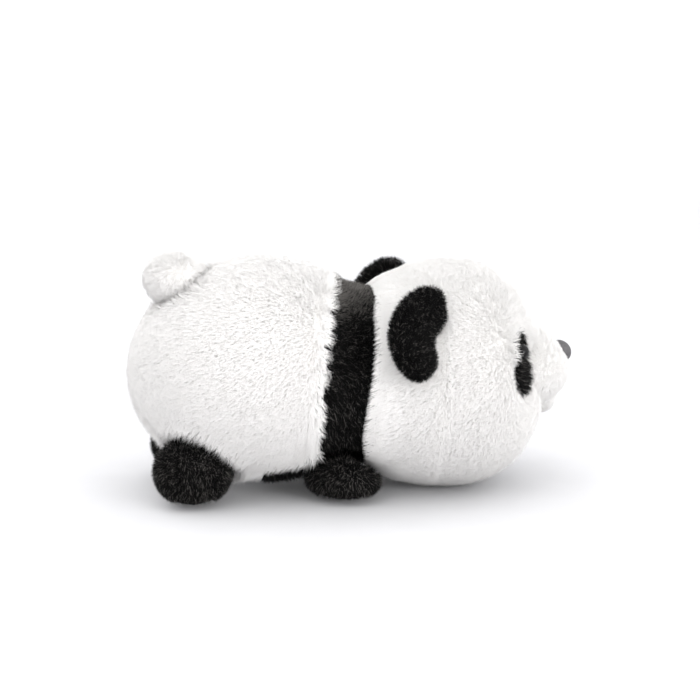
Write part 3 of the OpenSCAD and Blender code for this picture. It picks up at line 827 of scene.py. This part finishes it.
def head_fur(node, block, density, length, seed):
    """The pile of one panel of the head, clear of chin, nose and eye patches."""
    i, j, closed = block
    rng = np.random.default_rng(seed)
    p, n = sample(head_out[np.ix_(i, j)], head_n[np.ix_(i, j)], closed, density * DENSITY, rng)
    share = patch_share(p)
    from_nose = np.linalg.norm((p - NOSE) * (1, 0.75, 1), axis=1)
    keep = (share > 0.93) & (chin_share(p) > 1) & (from_nose > 6.2)
    size = length * (0.45 + 0.55 * smooth((from_nose - 6) / 6))
    # Longer beside the eyes, over the patches, and shorter round them below
    beside = np.exp(-(((p[:, 2] - EYE_Z) / 3.2) ** 2)) * smooth((1.5 - share) / 0.4)
    size *= 1 + 0.35 * beside
    size *= 1 - 0.45 * smooth((1.35 - share) / 0.3) * smooth((EYE_Z - 3 - p[:, 2]) / 4)
    # Short on the crown behind the ears, over the muzzle's end, along the seam and against the floor
    size *= 1 - 0.5 * smooth((p[:, 2] - 100) / 12) * smooth((42 - p[:, 0]) / 20)
    size *= 1 - 0.4 * smooth((p[:, 0] - 100) / 8) * smooth((p[:, 2] - 68) / 6)
    size *= 1 - 0.1 * np.exp(-(((p[:, 0] - SEAM_X) / 1.8) ** 2)) * smooth((62 - p[:, 2]) / 20)
    low = np.minimum(1.0, np.maximum(0.3, (p[:, 2] - 0.8) / 4.2))
    size *= np.where(n[:, 2] < -0.3, low, 1.0)
    back = smooth((24 - p[:, 0]) / 12)
    lean = along_surface((-1, 0, -0.45), n) * (0.45 + 1.1 * back)[:, None]
    # Beside the seam the pile leans over it from both sides
    at_seam = np.exp(-(((p[:, 0] - SEAM_X) / 5) ** 2))
    over_seam = at_seam * (0.3 - 0.25 * np.sign(p[:, 0] - SEAM_X))
    lean += along_surface((1, 0, 0), n) * over_seam[:, None]
    p, n, lean, size = p[keep], n[keep], lean[keep], size[keep]
    fur(node + "_fur", "head", "white_plush", p, n, lean, size, HEAD_FIBRE, seed)


HALF_TURN = HEAD_COLUMNS // 2
EDGE = MUZZLE_ROWS - 1
# Node, rows, columns, fibres on a square millimetre, and their length
HEAD_PIECES = (
    ("muzzle_cover", (0, EDGE), (0, HEAD_COLUMNS), 5.0, 3.9),
    ("face_panel_left", (EDGE, SEAM_ROW), (0, HALF_TURN), 4.6, 5.2),
    ("face_panel_right", (EDGE, SEAM_ROW), (HALF_TURN, HEAD_COLUMNS), 4.6, 5.2),
    ("head_back_left", (SEAM_ROW, HEAD_ROWS - 1), (0, HALF_TURN), 4.6, 5.6),
    ("head_back_right", (SEAM_ROW, HEAD_ROWS - 1), (HALF_TURN, HEAD_COLUMNS), 4.6, 5.6),
)
for number, (node, rows, columns, density, length) in enumerate(HEAD_PIECES):
    head_fur(node, head_piece(node, rows, columns), density, length, 200 + number)


# ---------------------------------------------------------------- chin, muzzle filling


ROUND = np.linspace(0, 360, 49)[:-1]


def face_cloth(d):
    """Reach of the backing cloth of head and muzzle."""
    return soft_max(head_reach(d, LONG), muzzle_reach(d, SHORT), MUZZLE_BLEND)


def chin_grid(k):
    """Outer and inner faces of the chin's cloth, k under the CAD's outline."""
    grid = tilted(20, 180)
    w = np.linspace(0.01, 24, 14)
    w, s = np.meshgrid(w, ROUND, indexing="ij")
    d = ray(grid, w, s)
    inside = face_cloth(d) - 0.2
    outside = crossing(HEAD, d, CHIN, CHIN_HALF - k)
    return HEAD + np.maximum(outside, inside)[..., None] * d, HEAD + (inside - 0.3)[..., None] * d


chin_out, chin_in = chin_grid(CHIN_DEPTH)
chin_n = normals(chin_out, True)
chin = shell("chin_cloth", chin_out, chin_in, True, WHITE_CLOTH)
finished(chin, "head", "chin_pad")
rng = np.random.default_rng(301)
p, n = sample(chin_out, chin_n, True, 6.5 * DENSITY, rng)
keep = chin_share(p) < 1.02
p, n = p[keep], n[keep]
lean = along_surface((-1, 0, -0.2), n) * 0.25
fur("chin_fur", "head", "white_plush", p, n, lean, 4.6, HEAD_FIBRE, 301)


def muzzle_fill_grid():
    """Outer and inner faces of the muzzle's filling."""
    w = np.linspace(0.001, 0.8, 14)[:, None] * rim_w
    s = np.broadcast_to(head_s, w.shape)
    d = ray(FORWARD, w, s)
    high = np.maximum(face_cloth(d) - 1.6, 0)
    return HEAD + high[..., None] * d, HEAD + (high - 3.0)[..., None] * d


# ---------------------------------------------------------------- eye patches and eyes


def patch_grid():
    """Outer and inner faces of an eye patch, cut off where it meets the muzzle."""
    a = np.radians(ROUND + PATCH_LEAN)
    across = 1 / np.hypot(np.cos(a) / PATCH_HALF[1], np.sin(a) / PATCH_HALF[0])

    def over_muzzle(w):
        d = ray(PATCH_GRID, w, ROUND)
        return muzzle_reach(d, 0) + 0.5 - head_reach(d, 0)

    limit = bisect(over_muzzle, np.full(ROUND.shape, 1.0), across)
    w = np.linspace(0.001, 1, 14)[:, None] * limit
    d = ray(PATCH_GRID, w, np.broadcast_to(ROUND, w.shape))
    base = head_reach(d, LONG)
    crown = 1.2 * np.sqrt(np.maximum(0, 1 - np.linspace(0, 1, 14) ** 2))[:, None]
    return HEAD + (base + 0.5 + crown)[..., None] * d, HEAD + (base - 0.1)[..., None] * d


def axes_along(out):
    """Axes of a button whose middle faces along out."""
    out = unit(out)
    first = unit(np.cross((0, 0, 1), out))
    return first, np.cross(out, first), out


eye_d = EYE_GRID[0]
eye_out = unit(eye_d / np.array([HEAD_FRONT[0], HEAD_WIDE, HEAD_HIGH]) ** 2)
eye_centre = HEAD + (head_reach(eye_d, -2.2) - EYE_SINK - EYE_DEEPER) * eye_d
patch_out, patch_in = patch_grid()
patch_n = normals(patch_out, True)


BUTTON_SIDES = 64


def button(name, centre, axes, profile, scale, material):
    """A moulded button: a profile of (radius share, height) turned round, over an oval."""
    turn = np.linspace(0, 2 * np.pi, BUTTON_SIDES + 1)[:-1]
    rows = []
    for share, height in profile:
        flat = share * scale(turn)
        rows.append(
            centre
            + (flat * np.cos(turn))[:, None] * axes[0]
            + (flat * np.sin(turn))[:, None] * axes[1]
            + height * axes[2]
        )
    return solid(name, np.stack(rows), material)


def round_outline(t):
    return np.full(t.shape, EYE_R)


ball_r = (EYE_R**2 + EYE_RISE**2) / (2 * EYE_RISE)
dome = np.linspace(0, 1, 22)
eye_profile = [(0.001, EYE_RISE)]
for t in dome[1:]:
    angle = t * math.asin(EYE_R / ball_r)
    eye_profile.append((ball_r * math.sin(angle) / EYE_R, EYE_RISE - ball_r * (1 - math.cos(angle))))
# The rolled edge, and the shank behind it
eye_profile += [(1.03, -0.1), (1.03, -0.5), (0.98, -0.6)]
eye_profile += [(0.36, -0.6), (0.34, -0.8), (0.34, -11), (0.001, -11)]

for side, label in SIDES:
    patch = "eye_patch_" + label
    cloth = shell(patch + "_cloth", mirror(patch_out, side), mirror(patch_in, side), True, BLACK_CLOTH)
    finished(cloth, "head", patch)
    rng = np.random.default_rng(311)
    p, n = sample(patch_out, patch_n, True, 6.0 * DENSITY, rng)
    off = (p - eye_centre) - ((p - eye_centre) @ eye_out)[:, None] * eye_out
    away = np.linalg.norm(off, axis=1)
    keep = away > EYE_R - 0.6
    p, n, off, away = p[keep], n[keep], off[keep], away[keep]
    at_eye = np.exp(-(((away - EYE_R) / 2.0) ** 2))
    lean = along_surface((-0.6, 0, -0.8), n) * 0.4 + unit(off) * (0.2 * at_eye)[:, None]
    size = 3.8 * (0.7 + 0.3 * smooth((away - EYE_R) / 3))
    size *= 1 + 0.6 * smooth((EYE_Z - 2 - p[:, 2]) / 4)
    p, n, lean = (mirror(x, side) for x in (p, n, lean))
    fur(patch + "_fur", "head", "black_plush", p, n, lean, size, PATCH_FIBRE, 311)
    centre, axes = mirror(eye_centre, side), axes_along(mirror(eye_out, side))
    eye = button("eye_" + label + "_button", centre, axes, eye_profile, round_outline, EYE_PLASTIC)
    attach(eye, "head")
    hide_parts("eye_" + label)

# The nose is a low dome, a little wider above than below, with a rolled edge
tilt = math.radians(NOSE_TILT)
nose_axes = (
    np.array([math.cos(tilt), 0, -math.sin(tilt)]),
    np.array([0.0, 1.0, 0.0]),
    np.array([math.sin(tilt), 0, math.cos(tilt)]),
)


def nose_outline(t):
    """Radius of the nose round its middle, wider above."""
    oval = 1 / np.hypot(np.cos(t) / NOSE_HALF[0], np.sin(t) / NOSE_HALF[1])
    return oval * (1 - 0.07 * np.cos(t) + 0.05 * np.cos(3 * t))


nose_profile = [(0.001, NOSE_HALF[2])]
for t in np.linspace(0, 1, 20)[1:]:
    nose_profile.append((math.sin(t * math.pi / 2), NOSE_HALF[2] * math.cos(t * math.pi / 2)))
nose_profile += [(1.0, -0.6), (0.96, -1.5), (0.8, -1.9), (0.22, -2.0), (0.22, -12), (0.001, -12)]
nose = button("nose_button", NOSE, nose_axes, nose_profile, nose_outline, NOSE_PLASTIC)
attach(nose, "head")
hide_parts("nose")


# ---------------------------------------------------------------- ears

ear_out_dir = unit(np.array([-0.0012, EAR[1] / HEAD_WIDE**2, (EAR[2] - HEAD[2]) / HEAD_HIGH**2]))
ear_up_dir = unit(np.cross(ear_out_dir, (-1.0, 0.0, 0.0)))
ear_back_dir = np.cross(ear_up_dir, ear_out_dir)


def ear_point(a, t, off):
    """A point of an ear: a share a along it, a share t outward and off from its middle layer."""
    angle = np.radians(EAR_MID + a * EAR_SPAN)
    base = EAR_BASE + 0.9 * (1 - np.cos(np.radians(a * EAR_SPAN)))
    w = base + (EAR_H * np.sqrt(1 - (a / EAR_END) ** 2) - base) * t
    out = (EAR_R + w * EAR_FLARE + off)[..., None]
    around = np.cos(angle)[..., None] * ear_back_dir + np.sin(angle)[..., None] * ear_up_dir
    return EAR + w[..., None] * ear_out_dir + out * around


def ear_layer(side, pile):
    """Outer and inner faces of an ear's back (side 1) or front (side -1) cloth, rounded at the rim."""
    t = np.sin(np.linspace(-0.15, np.pi / 2, 22)) * EAR_OUT
    a = np.sin(np.linspace(-np.pi / 2, np.pi / 2, 61)) * EAR_ALONG
    a, t = np.meshgrid(a, t, indexing="xy")
    thick = (EAR_T / 2 - pile) * np.sqrt(1 - (np.maximum(t, 0) / EAR_OUT) ** 6)
    thick = thick * np.sqrt(1 - (np.abs(a) / EAR_ALONG) ** 8)
    return ear_point(a, t, side * (0.1 + thick)), ear_point(a, t, side * 0.1 + 0 * thick)


for side, label in SIDES:
    for face, where in ((1, "back"), (-1, "front")):
        node = f"ear_{where}_{label}"
        outer, inner = ear_layer(face, EAR_PILE)
        n = normals(outer, False)
        n *= np.sign((n * (outer - inner)).sum())
        cloth = shell(node + "_cloth", mirror(outer, side), mirror(inner, side), False, BLACK_CLOTH)
        finished(cloth, "ear_" + label, node)
        rng = np.random.default_rng(401 + face)
        p, m = sample(outer, n, False, 6.5 * DENSITY, rng)
        root = smooth(((p - EAR) @ ear_out_dir + 1.0) / 4.0)
        lean = along_surface(ear_out_dir, m) * (root * 1.0 - 0.65)[:, None]
        size = 3.9 * (0.8 + 0.2 * root)
        p, m, lean = (mirror(x, side) for x in (p, m, lean))
        fur(node + "_fur", "ear_" + label, "black_plush", p, m, lean, size, PATCH_FIBRE, 401 + face)


# ---------------------------------------------------------------- legs and tail


def leg_reach(d, k, middle, half, yaw):
    """A leg's outline, flat below, and dented where the cheek lies over it."""
    outline = crossing(np.zeros(3), turned(d, yaw), np.zeros(3), half - k)
    outline = np.minimum(outline, (middle[2] - k * 0.35) / np.maximum(-d[..., 2], 1e-6))
    return bisect(lambda t: inside_head(middle + t[..., None] * d, CHEEK_ROOM + k), 0 * outline, outline)


def limb(
    prefix, body, cover, stuffing, centre, grid, reach,
    open_at, white, density, length, lean_to, seed, side=1,
):
    """A stuffed stub: its cover, open where it is sewn on, its filling and its pile."""
    turn = np.linspace(0, 360, 73)[:-1]
    d = ray(grid, *np.meshgrid(np.linspace(0.01, open_at, 30), turn, indexing="ij"))
    outer = centre + reach(d)[..., None] * d
    n = normals(outer, True)
    outer = outer + n * (noise(outer, 13.0, seed) * 0.35)[..., None]
    inner = outer - n * CLOTH_T
    cloth, slot = (WHITE_CLOTH, "white_plush") if white else (BLACK_CLOTH, "black_plush")
    piece = shell(prefix + "_cloth", mirror(outer, side), mirror(inner, side), True, cloth)
    finished(piece, body, cover)
    whole = ray(grid, *np.meshgrid(np.linspace(0.01, 179.9, 40), turn, indexing="ij"))
    core = centre + (reach(whole) - CLOTH_T - 0.8)[..., None] * whole
    finished(solid(prefix + "_filling", mirror(core, side), FIBRE), body, stuffing)
    rng = np.random.default_rng(seed)
    p, m = sample(outer, n, True, density * DENSITY, rng)
    size = np.full(len(p), length)
    # Short under the soles
    size *= np.where((m[:, 2] < -0.5) & (p[:, 2] < 6), 0.45, 1.0)
    lean = along_surface(lean_to, m) * 0.35
    if white:
        # The ball's own pile closes the fold round its foot
        foot = smooth(-((p - centre) @ grid[0]) / 8)
        size *= 1 + 0.6 * foot
        lean += along_surface(-grid[0], m) * (0.5 * foot)[:, None]
    p, m, lean = (mirror(x, side) for x in (p, m, lean))
    # The black legs get a share of fibres in the lightest tone: painted glints on the paws' pile
    fur(prefix + "_fur", body, slot, p, m, lean, size, BODY_FIBRE, seed, painted_glint_share=0.0 if white else 0.09)


LEGS = (("front_leg", FRONT, FRONT_HALF, FRONT_YAW), ("hind_leg", HIND, HIND_HALF, 0.0))
for name, centre, half, yaw in LEGS:
    for side, label in SIDES:
        limb(
            f"{name}_{label}", f"{name}_{label}", f"{name}_cover_{label}", f"{name}_stuffing_{label}",
            centre, DOWN, lambda d: leg_reach(d, SHORT, centre, half, yaw),
            open_at=174.0, white=False, density=5.0, length=4.2, lean_to=(0, 0.3, -1),
            seed=500 + int(abs(centre[0])), side=side,
        )
limb(
    "tail", "tail", "tail_cover", "tail_stuffing",
    TAIL, TAILWARD, lambda d: crossing(TAIL, d, TAIL, TAIL_HALF - SHORT),
    open_at=135.0, white=True, density=4.2, length=4.6, lean_to=(-0.5, 0, -1), seed=531,
)

# The muzzle's own filling lies between the head's and its cover
high, low = muzzle_fill_grid()
finished(shell("muzzle_filling", high, low, True, FIBRE), "head", "muzzle_stuffing")

# Washers stay as they are, in natural plastic
for node in ("eye_washer_left", "eye_washer_right", "nose_washer"):
    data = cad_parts[node].data
    data.materials.clear()
    data.materials.append(WASHER_PLASTIC)


# ---------------------------------------------------------------- room, light and camera


def area_light(name, place, target, size, power):
    """A square light of some size in metres and power in watts, turned to a target."""
    data = bpy.data.lights.new(name, "AREA")
    data.shape, data.size, data.energy = "SQUARE", size, power
    obj = bpy.data.objects.new(name, data)
    bpy.context.scene.collection.objects.link(obj)
    obj.location = place
    obj.rotation_mode = "QUATERNION"
    obj.rotation_quaternion = (Vector(target) - Vector(place)).to_track_quat("-Z", "Y")
    return obj


# One sheet of paper: flat under the toy and far round it, then curving up into the backdrop
PAPER_NEAR, PAPER_BEND, BEND_R, PAPER_TOP, PAPER_HALF = -14000.0, 1400.0, 900.0, 3500.0, 9000.0
flat = np.linspace(PAPER_NEAR, PAPER_BEND, 30)
bend = np.linspace(0, math.pi / 2, 12)
across = np.linspace(-PAPER_HALF, PAPER_HALF, 33)
run = np.concatenate([flat, PAPER_BEND + BEND_R * np.sin(bend), [PAPER_BEND + BEND_R]])
lift = np.concatenate([0 * flat, BEND_R * (1 - np.cos(bend)), [PAPER_TOP]])
sheet = np.empty((len(run), len(across), 3))
sheet[..., 0] = across
sheet[..., 1] = run[:, None]
sheet[..., 2] = lift[:, None]
sheet_faces = grid_faces(len(run), len(across), False)[:, ::-1]
floor = mesh_object("floor", sheet.reshape(-1, 3), sheet_faces, [])
paper = textured("floor_paper", (0.575, 0.575, 0.588), (0.595, 0.595, 0.608), (0.8, 0.9), 40, 0.05, 0.0005)
# The sheet grows lighter with height, as the curved part gets less of the light
tree = paper.node_tree
place, rise, lift_mix = (tree.nodes.new("ShaderNode" + kind) for kind in ("NewGeometry", "MapRange", "Mix"))
split = tree.nodes.new("ShaderNodeSeparateXYZ")
lift_mix.data_type = "RGBA"
lift_mix.inputs["B"].default_value = (0.66, 0.66, 0.672, 1)
rise.inputs["From Max"].default_value = 0.3
shader = tree.nodes["Principled BSDF"]
link(tree, shader.inputs["Base Color"].links[0].from_socket, lift_mix.inputs["A"])
link(tree, place.outputs["Position"], split.inputs[0])
link(tree, split.outputs["Z"], rise.inputs["Value"])
link(tree, rise.outputs["Result"], lift_mix.inputs["Factor"])
link(tree, lift_mix.outputs["Result"], shader.inputs["Base Color"])
floor.data.materials.append(paper)
floor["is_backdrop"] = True

world = bpy.data.worlds.new("studio")
bpy.context.scene.world = world
world.use_nodes = True
world.node_tree.nodes["Background"].inputs["Color"].default_value = (1, 1, 1, 1)
world.node_tree.nodes["Background"].inputs["Strength"].default_value = 1.88

area_light("key", (-0.4, -0.1, 1.3), (0, 0, 0.05), 1.4, 3)
area_light("low_fill", (0.75, -1.1, 0.2), (0, 0, 0.05), 0.7, 12)
area_light("back_fill", (-0.7, 1.4, 0.7), (0, 0, 0.05), 1.4, 5)

# The camera looks from the toy's right, a little from behind and above
CAMERA_DISTANCE = 0.85
target = Vector((-0.0022, 0.0, 0.0758))
toward = Vector((-0.1364, -0.9718, 0.1908))
camera_data = bpy.data.cameras.new("camera")
camera_data.lens, camera_data.sensor_width = 79.9, 36.0
camera = bpy.data.objects.new("camera", camera_data)
bpy.context.scene.collection.objects.link(camera)
camera.location = target + CAMERA_DISTANCE * toward
camera.rotation_mode = "QUATERNION"
camera.rotation_quaternion = (-toward).to_track_quat("-Z", "Y")
camera_data.clip_start = 0.01
bpy.context.scene.camera = camera
bpy.context.scene.view_settings.view_transform = "Standard"

low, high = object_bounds()
